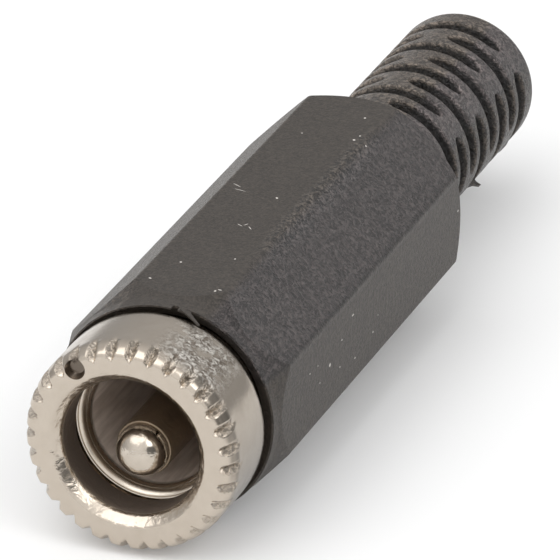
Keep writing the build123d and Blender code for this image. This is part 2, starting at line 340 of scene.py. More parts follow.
def nickel_plate():
    """Bright nickel on turned brass: warm grey mirror with fine turning rings, worn rough where tools touched it."""
    material, tree = new_material("bright_nickel_on_turned_brass")
    place, along, angle, radius = connector_place(tree)
    profile = add_node(tree, "ShaderNodeMath", {"operation": "SUBTRACT"}, i0=radius, i1=along)
    rings = add_node(tree, "ShaderNodeTexNoise", {"noise_dimensions": "1D"}, W=profile.outputs[0],
                     Scale=1 / 0.12, Detail=3.0)
    clouds = add_node(tree, "ShaderNodeTexNoise", Vector=place, Scale=1 / 0.8, Detail=5.0, Roughness=0.65)
    dents = add_node(tree, "ShaderNodeTexNoise", Vector=place, Scale=1 / 0.4, Detail=3.0, Distortion=0.6)
    pits = add_node(tree, "ShaderNodeTexNoise", Vector=place, Scale=1 / 0.2, Detail=4.0, Roughness=0.65,
                    Distortion=0.8)
    worn_turn = zone(tree, angle, 40.0, 74.0, 9.0)
    worn_length = zone(tree, along, 0.6, 3.7, 0.5)
    worn_here = add_node(tree, "ShaderNodeMath", {"operation": "MULTIPLY"}, i0=worn_turn, i1=worn_length)
    patches = add_node(tree, "ShaderNodeMapRange", Value=clouds.outputs[0], From_Min=0.34, From_Max=0.5)
    worn = add_node(tree, "ShaderNodeMath", {"operation": "MULTIPLY"}, i0=worn_here.outputs[0], i1=patches.outputs[0])
    cloud_tint = add_node(tree, "ShaderNodeMix", {"data_type": "RGBA"}, i0=clouds.outputs[0],
                          i6=linear("#ccc2b5"), i7=linear("#bcb0a2"))
    pit_light = add_node(tree, "ShaderNodeMapRange", Value=pits.outputs[0], From_Min=0.42, From_Max=0.62)
    scraped = add_node(tree, "ShaderNodeMix", {"data_type": "RGBA"}, i0=pit_light.outputs[0],
                       i6=linear("#84786c"), i7=linear("#fffaf2"))
    tint = add_node(tree, "ShaderNodeMix", {"data_type": "RGBA"}, i0=worn.outputs[0],
                    i6=cloud_tint.outputs[2], i7=scraped.outputs[2])
    mark = (MARK_RADIUS_AT * math.cos(math.radians(MARK_ANGLE)), 0.25,
            MARK_RADIUS_AT * math.sin(math.radians(MARK_ANGLE)))
    grime = marks(tree, place, [(mark, 0.45, 0.46, (0, 0, 0))])
    # The notches are painted darker in mottled patches, and the rim between them at the right darker still: painted
    # shade
    from_phase = add_node(tree, "ShaderNodeMath", {"operation": "SUBTRACT"}, i0=angle, i1=NOTCH_PHASE)
    from_notch = add_node(tree, "ShaderNodeMath", {"operation": "PINGPONG"}, i0=from_phase.outputs[0],
                          i1=180 / NOTCHES)
    in_notch = zone(tree, from_notch.outputs[0], -1.0, 2.9, 0.5)
    outside_face = zone(tree, radius, COLLAR_R - NOTCH_ON_FACE + 0.14, COLLAR_R + 1, 0.08)
    before_band = zone(tree, along, -1.0, NOTCH_ON_SIDE - 0.14, 0.08)
    torn = add_node(tree, "ShaderNodeMath", {"operation": "MULTIPLY"}, i0=outside_face, i1=before_band)
    torn = add_node(tree, "ShaderNodeMath", {"operation": "MULTIPLY"}, i0=torn.outputs[0], i1=in_notch)
    in_pits = add_node(tree, "ShaderNodeMapRange", Value=pits.outputs[0], From_Min=0.42, From_Max=0.6,
                       To_Min=0.5, To_Max=1.15)
    upper_right = zone(tree, angle, -25.0, 125.0, 25.0)
    notch_shade_mask = add_node(tree, "ShaderNodeMath", {"operation": "MULTIPLY"}, i0=torn.outputs[0], i1=upper_right)
    notch_shade = add_node(tree, "ShaderNodeMapRange", Value=notch_shade_mask.outputs[0], To_Min=1.0, To_Max=in_pits.outputs[0])
    on_ridge = zone(tree, from_notch.outputs[0], 3.4, 9.0, 0.5)
    on_corner = zone(tree, along, 0.22, 0.78, 0.12)
    at_right = zone(tree, angle, -8.0, 56.0, 8.0)
    ridge = add_node(tree, "ShaderNodeMath", {"operation": "MULTIPLY"}, i0=on_ridge, i1=on_corner)
    ridge = add_node(tree, "ShaderNodeMath", {"operation": "MULTIPLY"}, i0=ridge.outputs[0], i1=at_right)
    # The rim between the notches at the right is painted darker: painted shade
    notch_and_rim_shade = add_node(tree, "ShaderNodeMapRange", Value=ridge.outputs[0], To_Min=notch_shade.outputs[0],
                        To_Max=0.5)
    # The outside of the band is painted darker, most at its right: painted shade in its reflection
    on_band = zone(tree, radius, COLLAR_R - 0.05, COLLAR_R + 1, 0.04)
    on_right = zone(tree, angle, -60.0, 22.0, 22.0)
    most = add_node(tree, "ShaderNodeMapRange", Value=on_right, To_Min=0.9, To_Max=0.64)
    band_shade = add_node(tree, "ShaderNodeMapRange", Value=on_band, To_Min=1.0, To_Max=most.outputs[0])
    # The painted shade of the band, the notches and the rim, multiplied together
    darkening = add_node(tree, "ShaderNodeMath", {"operation": "MULTIPLY"}, i0=band_shade.outputs[0],
                    i1=notch_and_rim_shade.outputs[0])
    tint = add_node(tree, "ShaderNodeVectorMath", {"operation": "SCALE"}, i0=tint.outputs[2],
                    Scale=darkening.outputs[0])
    marked = add_node(tree, "ShaderNodeMix", {"data_type": "RGBA"}, i0=grime, i6=tint.outputs[0],
                      i7=linear("#6d645b"))
    # Inside the mouth the plate is thin and grimy, so it scatters light more than it mirrors
    in_bore = zone(tree, radius, 0.0, 3.25, 0.05)
    below = zone(tree, along, 0.55, 20.0, 0.1)
    bore_inside = add_node(tree, "ShaderNodeMath", {"operation": "MULTIPLY"}, i0=in_bore, i1=below)
    colour = add_node(tree, "ShaderNodeMix", {"data_type": "RGBA"}, i0=bore_inside.outputs[0], i6=marked.outputs[2],
                      i7=linear("#82756a"))
    metal = add_node(tree, "ShaderNodeMapRange", Value=bore_inside.outputs[0], To_Min=1.0, To_Max=0.75)
    sheen = add_node(tree, "ShaderNodeMapRange", Value=clouds.outputs[0], From_Min=0.3, From_Max=0.7,
                     To_Min=0.17, To_Max=0.27)
    worn_or_dull = add_node(tree, "ShaderNodeMath", {"operation": "MAXIMUM"}, i0=worn.outputs[0], i1=bore_inside.outputs[0])
    rough = add_node(tree, "ShaderNodeMapRange", Value=worn_or_dull.outputs[0], To_Min=sheen.outputs[0], To_Max=0.45)
    ring_height = add_node(tree, "ShaderNodeMath", {"operation": "MULTIPLY"}, i0=rings.outputs[0], i1=0.0012)
    pit_height = add_node(tree, "ShaderNodeMath", {"operation": "MULTIPLY"}, i0=pits.outputs[0], i1=worn.outputs[0])
    # The mouth's bevel was cut roughly, which breaks up its highlight
    bevel = zone(tree, radius, 3.05, 3.6, 0.05)
    dent_depth = add_node(tree, "ShaderNodeMapRange", Value=bevel, To_Min=0.006, To_Max=0.05)
    dent_height = add_node(tree, "ShaderNodeMath", {"operation": "MULTIPLY"}, i0=dents.outputs[0],
                           i1=dent_depth.outputs[0])
    height = add_node(tree, "ShaderNodeMath", {"operation": "MULTIPLY_ADD"},
                      i0=pit_height.outputs[0], i1=0.028, i2=ring_height.outputs[0])
    height = add_node(tree, "ShaderNodeMath", {"operation": "ADD"}, i0=height.outputs[0],
                      i1=dent_height.outputs[0])
    # Each notch was rolled in, which left its walls torn
    uneven = add_node(tree, "ShaderNodeMapRange", {"clamp": False}, Value=pits.outputs[0], To_Min=-0.05, To_Max=0.05)
    height = add_node(tree, "ShaderNodeMath", {"operation": "MULTIPLY_ADD"}, i0=torn.outputs[0],
                      i1=uneven.outputs[0], i2=height.outputs[0])
    bump = add_node(tree, "ShaderNodeBump", Height=height.outputs[0], Distance=MM)
    shader = add_node(tree, "ShaderNodeBsdfPrincipled", Base_Color=colour.outputs[2], Metallic=metal.outputs[0],
                      Roughness=rough.outputs[0], Normal=bump.outputs[0])
    add_node(tree, "ShaderNodeOutputMaterial", Surface=shader.outputs[0])
    return material


def rolled_contact():
    """Nickel on rolled spring bronze: bright at the rubbed edge, dull inside, with draw marks along it. The inside is
    painted pale and non-metallic as painted light, since little light gets down the bore.
    """
    material, tree = new_material("nickel_on_rolled_spring_bronze")
    place, along, *_ = connector_place(tree)
    streak_place = add_node(tree, "ShaderNodeMapping", Vector=place, Scale=(1, 0.12, 1))
    streaks = add_node(tree, "ShaderNodeTexNoise", Vector=streak_place.outputs[0], Scale=1 / 0.3, Detail=4.0)
    inside = add_node(tree, "ShaderNodeMapRange", {"interpolation_type": "SMOOTHSTEP"}, Value=along,
                      From_Min=SLEEVE_FRONT + 0.4, From_Max=SLEEVE_FRONT + 0.75)
    streak_light = add_node(tree, "ShaderNodeMapRange", Value=streaks.outputs[0], From_Min=0.35, From_Max=0.65)
    # The inside is painted pale, as painted light for the little light that gets down the bore
    bore_inside = add_node(tree, "ShaderNodeMix", {"data_type": "RGBA"}, i0=streak_light.outputs[0],
                    i6=linear("#c4b5a8"), i7=linear("#e4d6ca"))
    colour = add_node(tree, "ShaderNodeMix", {"data_type": "RGBA"}, i0=inside.outputs[0],
                      i6=linear("#cfc5b8"), i7=bore_inside.outputs[2])
    metal = add_node(tree, "ShaderNodeMapRange", Value=inside.outputs[0], To_Min=1.0, To_Max=0.0)
    rough = add_node(tree, "ShaderNodeMapRange", Value=inside.outputs[0], To_Min=0.25, To_Max=0.55)
    bump = add_node(tree, "ShaderNodeBump", Height=streaks.outputs[0], Distance=0.006 * MM)
    shader = add_node(tree, "ShaderNodeBsdfPrincipled", Base_Color=colour.outputs[2], Metallic=metal.outputs[0],
                      Roughness=rough.outputs[0], Normal=bump.outputs[0])
    add_node(tree, "ShaderNodeOutputMaterial", Surface=shader.outputs[0])
    return material


def polished_pin():
    """Nickel on a turned brass pin: the ball is rubbed bright by plugs, and the step behind it is tarnished."""
    material, tree = new_material("nickel_on_turned_brass_pin")
    place, along, *_ = connector_place(tree)
    dents = add_node(tree, "ShaderNodeTexNoise", Vector=place, Scale=1 / 0.6, Detail=3.0, Distortion=0.5)
    rings = add_node(tree, "ShaderNodeTexNoise", {"noise_dimensions": "1D"}, W=along, Scale=1 / 0.06, Detail=2.0)
    bright = add_node(tree, "ShaderNodeMix", {"data_type": "RGBA"}, i0=dents.outputs[0],
                      i6=linear("#d6cdc1"), i7=linear("#b5aa9c"))
    step = add_node(tree, "ShaderNodeMapRange", {"interpolation_type": "SMOOTHSTEP"}, Value=along,
                    From_Min=SHOULDER_Y - 0.12, From_Max=SHOULDER_Y - 0.02)
    tint = add_node(tree, "ShaderNodeMix", {"data_type": "RGBA"}, i0=step.outputs[0], i6=bright.outputs[2],
                    i7=linear("#8a7b69"))
    rubbed = add_node(tree, "ShaderNodeMapRange", Value=dents.outputs[0], From_Min=0.35, From_Max=0.65,
                      To_Min=0.1, To_Max=0.24)
    rough = add_node(tree, "ShaderNodeMapRange", Value=step.outputs[0], To_Min=rubbed.outputs[0], To_Max=0.42)
    height = add_node(tree, "ShaderNodeMath", {"operation": "MULTIPLY_ADD"},
                      i0=rings.outputs[0], i1=0.03, i2=dents.outputs[0])
    bump = add_node(tree, "ShaderNodeBump", Height=height.outputs[0], Distance=0.05 * MM)
    shader = add_node(tree, "ShaderNodeBsdfPrincipled", Base_Color=tint.outputs[2], Metallic=1.0,
                      Roughness=rough.outputs[0], Normal=bump.outputs[0])
    add_node(tree, "ShaderNodeOutputMaterial", Surface=shader.outputs[0])
    return material


def tinned_brass():
    """Dull tin plate on stamped brass strip: soft grey metal with rolling streaks along the strip."""
    material, tree = new_material("dull_tin_on_stamped_brass")
    place, *_ = connector_place(tree)
    streak_place = add_node(tree, "ShaderNodeMapping", Vector=place, Scale=(1, 0.08, 1))
    streaks = add_node(tree, "ShaderNodeTexNoise", Vector=streak_place.outputs[0], Scale=1 / 0.12, Detail=3.0)
    spangle = add_node(tree, "ShaderNodeTexNoise", Vector=place, Scale=1 / 0.5, Detail=3.0)
    tint = add_node(tree, "ShaderNodeMix", {"data_type": "RGBA"}, i0=spangle.outputs[0],
                    i6=linear("#bdb9b0"), i7=linear("#a8a39a"))
    rough = add_node(tree, "ShaderNodeMapRange", Value=streaks.outputs[0], To_Min=0.3, To_Max=0.5)
    bump = add_node(tree, "ShaderNodeBump", Height=streaks.outputs[0], Distance=0.004 * MM)
    shader = add_node(tree, "ShaderNodeBsdfPrincipled", Base_Color=tint.outputs[2], Metallic=1.0,
                      Roughness=rough.outputs[0], Normal=bump.outputs[0])
    add_node(tree, "ShaderNodeOutputMaterial", Surface=shader.outputs[0])
    return material


def bush_nylon():
    """Moulded black nylon, painted dark grey instead of near-black as painted light at the bottom of the bore;
    slightly glossy, with a faint flow pattern.
    """
    material, tree = new_material("moulded_black_nylon")
    place, *_ = connector_place(tree)
    flow = add_node(tree, "ShaderNodeTexNoise", Vector=place, Scale=1 / 0.6, Detail=4.0, Distortion=0.8)
    # Dark grey, lighter than the nylon is: painted light at the bottom of the bore
    tint = add_node(tree, "ShaderNodeMix", {"data_type": "RGBA"}, i0=flow.outputs[0],
                    i6=linear("#3a3430"), i7=linear("#4a423c"))
    rough = add_node(tree, "ShaderNodeMapRange", Value=flow.outputs[0], To_Min=0.38, To_Max=0.55)
    bump = add_node(tree, "ShaderNodeBump", Height=flow.outputs[0], Distance=0.01 * MM)
    shader = add_node(tree, "ShaderNodeBsdfPrincipled", Base_Color=tint.outputs[2], IOR=1.53,
                      Roughness=rough.outputs[0], Normal=bump.outputs[0])
    add_node(tree, "ShaderNodeOutputMaterial", Surface=shader.outputs[0])
    return material


def washer_fibre():
    """Punched vulcanised fibre: red-brown, matt, with short pressed fibres."""
    material, tree = new_material("punched_vulcanised_fibre")
    place, *_ = connector_place(tree)
    fibre_place = add_node(tree, "ShaderNodeMapping", Vector=place, Scale=(1, 1, 0.25))
    fibres = add_node(tree, "ShaderNodeTexNoise", Vector=fibre_place.outputs[0], Scale=1 / 0.08, Detail=4.0,
                      Distortion=0.5)
    tint = add_node(tree, "ShaderNodeMix", {"data_type": "RGBA"}, i0=fibres.outputs[0],
                    i6=linear("#7a4330"), i7=linear("#98604a"))
    bump = add_node(tree, "ShaderNodeBump", Height=fibres.outputs[0], Distance=0.01 * MM)
    shader = add_node(tree, "ShaderNodeBsdfPrincipled", Base_Color=tint.outputs[2], IOR=1.5, Roughness=0.72,
                      Normal=bump.outputs[0])
    add_node(tree, "ShaderNodeOutputMaterial", Surface=shader.outputs[0])
    return material


# Light scuffs and dust on the shell: angle round the axis, place along it, half length, half width, and its slant
SCUFFS = (
    (74.7, 5.43, 0.13, 0.05, 30), (72.4, 6.28, 0.07, 0.05, 0), (70.8, 6.45, 0.09, 0.035, 80),
    (77.0, 25.94, 0.06, 0.05, 0), (72.8, 23.46, 0.08, 0.06, 20), (71.8, 23.97, 0.06, 0.04, 0),
    (65.9, 23.26, 0.06, 0.05, 0), (83.2, 16.31, 0.08, 0.05, 40), (99.7, 8.54, 0.06, 0.05, 0),
    (106.5, 6.54, 0.07, 0.05, 60), (88.6, 13.05, 0.16, 0.02, 60), (86.0, 13.2, 0.12, 0.02, -30),
    (82.7, 12.91, 0.16, 0.02, 40), (76.5, 9.65, 0.05, 0.04, 0), (100.0, 23.37, 0.04, 0.04, 0),
    (103.7, 16.55, 0.3, 0.016, 78), (107.0, 17.0, 0.25, 0.018, 60), (12.5, 13.98, 0.15, 0.04, 10),
    (-3.0, 17.17, 0.14, 0.025, -35), (5.9, 12.61, 0.09, 0.04, -30), (-12.0, 14.26, 0.1, 0.04, -25),
    (-0.3, 11.12, 0.1, 0.08, 0), (-9.2, 16.54, 0.06, 0.05, 0), (6.6, 9.64, 0.04, 0.03, 0),
    (7.2, 8.66, 0.06, 0.03, 0), (-3.9, 9.89, 0.05, 0.03, 0), (-7.6, 12.37, 0.05, 0.04, 0),
    (4.1, 27.65, 0.07, 0.05, 0),
)


def shell_plastic():
    """Moulded black plastic, faded grey. Its mould was spark-grained coarsely on one flat and the ribs, finely on the
    rest, and the smooth top flat has scratches. The grain is drawn a little coarser than it is, so that it shows."""
    material, tree = new_material("moulded_black_plastic")
    place, along, angle, radius = connector_place(tree)
    worms = add_node(tree, "ShaderNodeTexNoise", Vector=place, Scale=1 / 0.2, Detail=3.0, Roughness=0.6,
                     Distortion=1.0)
    worm_light = add_node(tree, "ShaderNodeMapRange", {"interpolation_type": "SMOOTHSTEP"}, Value=worms.outputs[0],
                          From_Min=0.4, From_Max=0.66, To_Min=-0.3, To_Max=1.5)
    speckle = add_node(tree, "ShaderNodeTexNoise", Vector=place, Scale=1 / 0.09, Detail=2.0)
    speckle_light = add_node(tree, "ShaderNodeMapRange", Value=speckle.outputs[0], From_Min=0.3, From_Max=0.7,
                             To_Min=-1.0, To_Max=1.0)
    clouds = add_node(tree, "ShaderNodeTexNoise", Vector=place, Scale=1 / 1.5, Detail=4.0, Roughness=0.6)
    # How coarse the grain is, by place: coarse flat, its edge with the top flat, left flat, top flat, ribs
    coarse_flat = zone(tree, angle, 22.5, 66.0, 3.0)
    edge_turn = zone(tree, angle, 61.0, 71.0, 3.0)
    edge_length = zone(tree, along, 11.5, 23.5, 2.0)
    rough_edge = add_node(tree, "ShaderNodeMath", {"operation": "MULTIPLY"}, i0=edge_turn, i1=edge_length)
    left_flat = zone(tree, angle, 112.5, 157.5, 1.5)
    top_flat = zone(tree, angle, 72.0, 112.5, 4.0)
    relief = zone(tree, along, 28.25, 60.0, 0.1)
    grain = add_node(tree, "ShaderNodeMapRange", Value=coarse_flat, To_Min=0.5, To_Max=1.4)
    grain = add_node(tree, "ShaderNodeMapRange", Value=top_flat, To_Min=grain.outputs[0], To_Max=0.3)
    grain = add_node(tree, "ShaderNodeMapRange", Value=rough_edge.outputs[0], To_Min=grain.outputs[0], To_Max=2.7)
    grain = add_node(tree, "ShaderNodeMapRange", Value=left_flat, To_Min=grain.outputs[0], To_Max=1.1)
    grain = add_node(tree, "ShaderNodeMapRange", Value=relief, To_Min=grain.outputs[0], To_Max=1.6)
    # Light flecks stand on the grain's peaks and darker hollows between them: partly the plastic's own mottling,
    # partly painted light and shade of the grain's relief
    lightness = add_node(tree, "ShaderNodeMath", {"operation": "MULTIPLY"}, i0=worm_light.outputs[0],
                         i1=grain.outputs[0])
    lightness = add_node(tree, "ShaderNodeMath", {"operation": "MULTIPLY_ADD"}, i0=lightness.outputs[0],
                         i1=0.62, i2=0.84)
    lightness = add_node(tree, "ShaderNodeMath", {"operation": "MULTIPLY_ADD"}, i0=speckle_light.outputs[0], i1=0.3,
                         i2=lightness.outputs[0])
    # The left flat is painted lighter: a painted sheen of light grazing it
    left_flat_sheen = add_node(tree, "ShaderNodeMapRange", Value=left_flat, To_Min=1.0, To_Max=1.25)
    lightness = add_node(tree, "ShaderNodeMath", {"operation": "MULTIPLY"}, i0=lightness.outputs[0],
                         i1=left_flat_sheen.outputs[0])
    # The relief is drawn lighter, its ribs' rounded edges lighter still as painted highlights, and the slots between
    # them darker as painted shade
    rib_edge_highlight = zone(tree, radius, RELIEF_R - 0.1, RELIEF_R - 0.012, 0.015)
    in_slot = zone(tree, radius, 0.0, RELIEF_R - 0.17, 0.05)
    rib_light = add_node(tree, "ShaderNodeMapRange", Value=rib_edge_highlight, To_Min=1.55, To_Max=2.3)
    rib_light = add_node(tree, "ShaderNodeMapRange", Value=in_slot, To_Min=rib_light.outputs[0], To_Max=0.35)
    rib_light = add_node(tree, "ShaderNodeMapRange", Value=relief, To_Min=1.0, To_Max=rib_light.outputs[0])
    # The relief's right side is drawn darker than its top
    side = zone(tree, angle, -100.0, 28.0, 18.0)
    side = add_node(tree, "ShaderNodeMath", {"operation": "MULTIPLY"}, i0=side, i1=relief)
    side_dark = add_node(tree, "ShaderNodeMapRange", Value=side.outputs[0], To_Min=1.0, To_Max=0.5)
    rib_light = add_node(tree, "ShaderNodeMath", {"operation": "MULTIPLY"}, i0=rib_light.outputs[0],
                         i1=side_dark.outputs[0])
    lightness = add_node(tree, "ShaderNodeMath", {"operation": "MULTIPLY"}, i0=lightness.outputs[0],
                         i1=rib_light.outputs[0])
    # A dark line runs along the coarse flat's lower edge
    darkening = zone(tree, angle, 22.6, 25.0, 1.2)
    edge_line_dark = add_node(tree, "ShaderNodeMapRange", Value=darkening, To_Min=1.0, To_Max=0.62)
    lightness = add_node(tree, "ShaderNodeMath", {"operation": "MULTIPLY"}, i0=lightness.outputs[0],
                         i1=edge_line_dark.outputs[0])
    brown = add_node(tree, "ShaderNodeMix", {"data_type": "RGBA"}, i0=clouds.outputs[0],
                     i6=linear("#3c3631"), i7=linear("#443e38"))
    base = add_node(tree, "ShaderNodeMix", {"data_type": "RGBA"}, i0=coarse_flat, i6=brown.outputs[2],
                    i7=linear("#3e3938"))
    shaded = add_node(tree, "ShaderNodeVectorMath", {"operation": "SCALE"}, i0=base.outputs[2],
                      Scale=lightness.outputs[0])
    spots = []
    for turn, y, half_length, half_width, slant in SCUFFS:
        flat = 45 * round(turn / 45)
        r = FLAT_R / math.cos(math.radians(turn - flat))
        middle_at = (r * math.cos(math.radians(turn)), y, r * math.sin(math.radians(turn)))
        spots.append((middle_at, half_length, half_width, (0, 90 - flat, slant)))
    scuffed = marks(tree, place, spots)
    colour = add_node(tree, "ShaderNodeMix", {"data_type": "RGBA"}, i0=scuffed, i6=shaded.outputs[0],
                      i7=linear("#d8d2cc"))
    rough = add_node(tree, "ShaderNodeMapRange", Value=grain.outputs[0], From_Min=0.5, From_Max=1.6, To_Min=0.5,
                     To_Max=0.32)
    worm_height = add_node(tree, "ShaderNodeMath", {"operation": "MULTIPLY"}, i0=worms.outputs[0],
                           i1=grain.outputs[0])
    height = add_node(tree, "ShaderNodeMath", {"operation": "MULTIPLY_ADD"}, i0=speckle.outputs[0], i1=0.12,
                      i2=worm_height.outputs[0])
    bump = add_node(tree, "ShaderNodeBump", Height=height.outputs[0], Distance=0.12 * MM)
    shader = add_node(tree, "ShaderNodeBsdfPrincipled", Base_Color=colour.outputs[2], IOR=1.5,
                      Roughness=rough.outputs[0], Normal=bump.outputs[0])
    add_node(tree, "ShaderNodeOutputMaterial", Surface=shader.outputs[0])
    return material


def studio_paper():
    """White paper floor: it takes the shadow, and shows white to the eye and in the metal."""
    material, tree = new_material("white_studio_paper")
    paper = add_node(tree, "ShaderNodeBsdfDiffuse", Color=(0.8, 0.8, 0.8, 1))
    rays = add_node(tree, "ShaderNodeLightPath")
    seen = add_node(tree, "ShaderNodeMath", {"operation": "MAXIMUM"},
                    i0=rays.outputs["Is Camera Ray"], i1=rays.outputs["Is Glossy Ray"])
    seen = add_node(tree, "ShaderNodeMath", {"operation": "MAXIMUM"},
                    i0=seen.outputs[0], i1=rays.outputs["Is Transmission Ray"])
    strength = add_node(tree, "ShaderNodeMath", {"operation": "MULTIPLY"}, i0=seen.outputs[0], i1=0.15)
    glow = add_node(tree, "ShaderNodeEmission", Color=(1, 1, 1, 1), Strength=strength.outputs[0])
    both = add_node(tree, "ShaderNodeAddShader", i0=paper.outputs[0], i1=glow.outputs[0])
    add_node(tree, "ShaderNodeOutputMaterial", Surface=both.outputs[0])
    return material


# Pieces

def make_collar(material):
    """Turned body. One notch's sector is drawn as a cage, copied round and smoothed."""
    on_face, on_side = (COLLAR_R - NOTCH_ON_FACE, 0), (COLLAR_R, NOTCH_ON_SIDE)
    section = [
        (3.1, 0.45), (3.55, 0), (3.9, 0), on_face, *RIM, on_side, (COLLAR_R, 1.35),
        (COLLAR_R, COLLAR_BAND - 0.1), (COLLAR_R - 0.1, COLLAR_BAND), (3.8, COLLAR_BAND), (3.8, 4.3), (4.1, 4.5),
        (4.1, 10.7), (3.95, 10.9), (3.95, 12.45), (3.45, 12.45), (3.45, 12.1), (3.65, 12.1), (3.65, 11.0),
        (3.375, 11.0), (3.375, 2.0), (3.1, 2.0), (3.1, 0.45),
    ]
    obj = draw_section("collar_turned", section)
    half = 180 / NOTCHES
    lip = NOTCH_LIPS[1]
    for turn in (half - lip, lip, lip, half - lip):
        far = max(abs(polar(v.co)[1]) for v in bmesh.from_edit_mesh(obj.data).verts)
        pick(obj, "verts", lambda v: abs(abs(polar(v.co)[1]) - far) < 0.01)
        spin(1, turn)
    close_seams()
    sign = -1 if min(v.co.z for v in bmesh.from_edit_mesh(obj.data).verts) < -0.01 else 1

    def shift(turn, point, new_turn, new_point):
        """Moves the cage's vertex at this turn and point of the section."""
        def is_it(v):
            radius, angle, y = polar(v.co)
            return abs(abs(angle) - turn) < 0.01 and abs(radius - point[0]) < 0.01 and abs(y - point[1]) < 0.01

        assert pick(obj, "verts", is_it) == 1
        a, b = math.radians(turn), math.radians(new_turn)
        old = Vector((point[0] * math.cos(a), point[1], sign * point[0] * math.sin(a)))
        new = Vector((new_point[0] * math.cos(b), new_point[1], sign * new_point[0] * math.sin(b)))
        bpy.ops.transform.translate(value=new - old)

    for step, point in enumerate(RIM, 1):
        share = step / (len(RIM) + 1)
        valley = (on_face[0] + NOTCH_ON_FACE * share, NOTCH_ON_SIDE * share)
        shift(half, point, half, valley)
    for side in (-1, 1):
        for point, new_lip in zip(RIM, NOTCH_LIPS):
            if new_lip != lip:
                shift(half + side * lip, point, half + side * new_lip, point)
        for point in (on_face, on_side):
            shift(half + side * lip, point, half + side * NOTCH_END_LIP, point)
    bpy.ops.mesh.select_all(action="SELECT")
    spin(NOTCHES - 1, 2 * half * (NOTCHES - 1), copies=True)
    close_seams()

    worn_places = {(3.9, 0), on_face, *RIM, on_side, (COLLAR_R, 1.35), (COLLAR_R, COLLAR_BAND - 0.1),
                   (COLLAR_R - 0.1, COLLAR_BAND)}
    crisp_places = [point for point in section if point not in worn_places]

    def on_crisp_ring(e):
        (r0, _, y0), (r1, _, y1) = (polar(v.co) for v in e.verts)
        return abs(r0 - r1) < 0.01 and abs(y0 - y1) < 0.01 and any(
            abs(r0 - r) < 0.01 and abs(y0 - y) < 0.01 for r, y in crisp_places)

    def in_valley(e):
        places = [polar(v.co) for v in e.verts]
        return abs(places[0][2] - places[1][2]) > 0.1 and all(
            abs((r - on_face[0]) * NOTCH_ON_SIDE - y * NOTCH_ON_FACE) < 0.01
            and on_face[0] - 0.01 < r < COLLAR_R + 0.01 for r, _, y in places)

    def on_lip(e):
        """An edge along a notch's lip: both its ends stand as far from the valley as the lip does."""
        places = [polar(v.co) for v in e.verts]
        offsets = [abs(abs(angle) % (2 * half) - half) for _, angle, _ in places]
        lips = (*NOTCH_LIPS, NOTCH_END_LIP)
        return abs(places[0][0] - places[1][0]) + abs(places[0][2] - places[1][2]) > 0.1 and all(
            any(abs(offset - lip_at) < 0.02 for lip_at in lips) for offset in offsets) and all(
            y < NOTCH_ON_SIDE + 0.01 and r > on_face[0] - 0.01 for r, _, y in places)

    for value, test in ((0.8, on_crisp_ring), (0.6, on_lip), (1.0, in_valley)):
        assert pick(obj, "edges", test)
        bpy.ops.transform.edge_crease(value=value)
    leave_edit()
    modify(obj, "SUBSURF", levels=2, render_levels=2)
    mark = turned("punch", [
        (0, -0.3), (MARK_R, -0.3), (MARK_R, 0.05), (MARK_FLOOR_R, MARK_DEPTH), (0, MARK_DEPTH)], 32)
    mark.location = (MARK_RADIUS_AT * math.cos(math.radians(MARK_ANGLE)), 0,
                     MARK_RADIUS_AT * math.sin(math.radians(MARK_ANGLE)))
    obj.rotation_euler.y = math.radians(-NOTCH_PHASE + sign * half)
    bpy.context.view_layer.update()
    combine(obj, mark, "DIFFERENCE")
    finish_piece(obj, "collar", material, smooth=40)


def make_contact_sleeve(material):
    """Rolled ring with a funnelled, ridged front edge, split by a slit."""
    y = SLEEVE_FRONT
    section = [
        (SLEEVE_R, y + 0.06), (SLEEVE_R - 0.03, y + 0.02), (SLEEVE_R - 0.07, y), (SLEEVE_R - 0.11, y + 0.02),
        (SLEEVE_R - 0.13, y + 0.07), (SLEEVE_R - 0.16, y + 0.06), (SLEEVE_R - 0.2, y + 0.08),
        (SLEEVE_R - 0.38, y + 0.25), (SLEEVE_R - 0.4, y + 0.3), (SLEEVE_R - 0.43, y + 0.3),
        (SLEEVE_R - 0.52, y + 0.42), (SLEEVE_BORE_R, y + 0.56), (SLEEVE_BORE_R, CAVITY_END), (SLEEVE_R, CAVITY_END),
    ]
    obj = turned("contact_sleeve_rolled", section + section[:1], 160)
    turn = math.radians(SLIT_ANGLE)
    bpy.ops.object.select_all(action="DESELECT")
    bpy.ops.mesh.primitive_cube_add(
        size=1, scale=(2.0, 9.0, SLIT_WIDTH), rotation=(0, -turn, 0),
        location=(SLEEVE_R * math.cos(turn), 6.0, SLEEVE_R * math.sin(turn)),
    )
    slit = bpy.context.active_object
    bpy.context.view_layer.update()
    combine(obj, slit, "DIFFERENCE")
    finish_piece(obj, "contact_sleeve", material)


def make_centre_pin(material):
    """Turned pin: ball tip, shoulder with a small round, and the tail riveted over its tag."""
    end = math.degrees(math.asin((SHOULDER_Y - BALL_Y) / BALL_R))
    section = [(0, BALL_Y - BALL_R), *arc(0, BALL_Y, BALL_R, -90, end, 24)[1:], (PIN_R - PIN_CORNER, SHOULDER_Y)]
    section += arc(PIN_R - PIN_CORNER, SHOULDER_Y + PIN_CORNER, PIN_CORNER, -90, 0, 4)[1:]
    section += [(PIN_R, CAVITY_END), (PIN_TAIL_R, CAVITY_END), (PIN_TAIL_R, PIN_TAG_END), (RIVET_R, PIN_TAG_END)]
    section += arc(RIVET_R - RIVET_ROUND, RIVET_END - RIVET_ROUND, RIVET_ROUND, 0, 90, 5) + [(0, RIVET_END)]
    obj = turned("centre_pin_turned", section, 96)
    obj.location = (PIN_X, 0, PIN_Z)
    apply_place(obj)
    finish_piece(obj, "centre_pin", material)


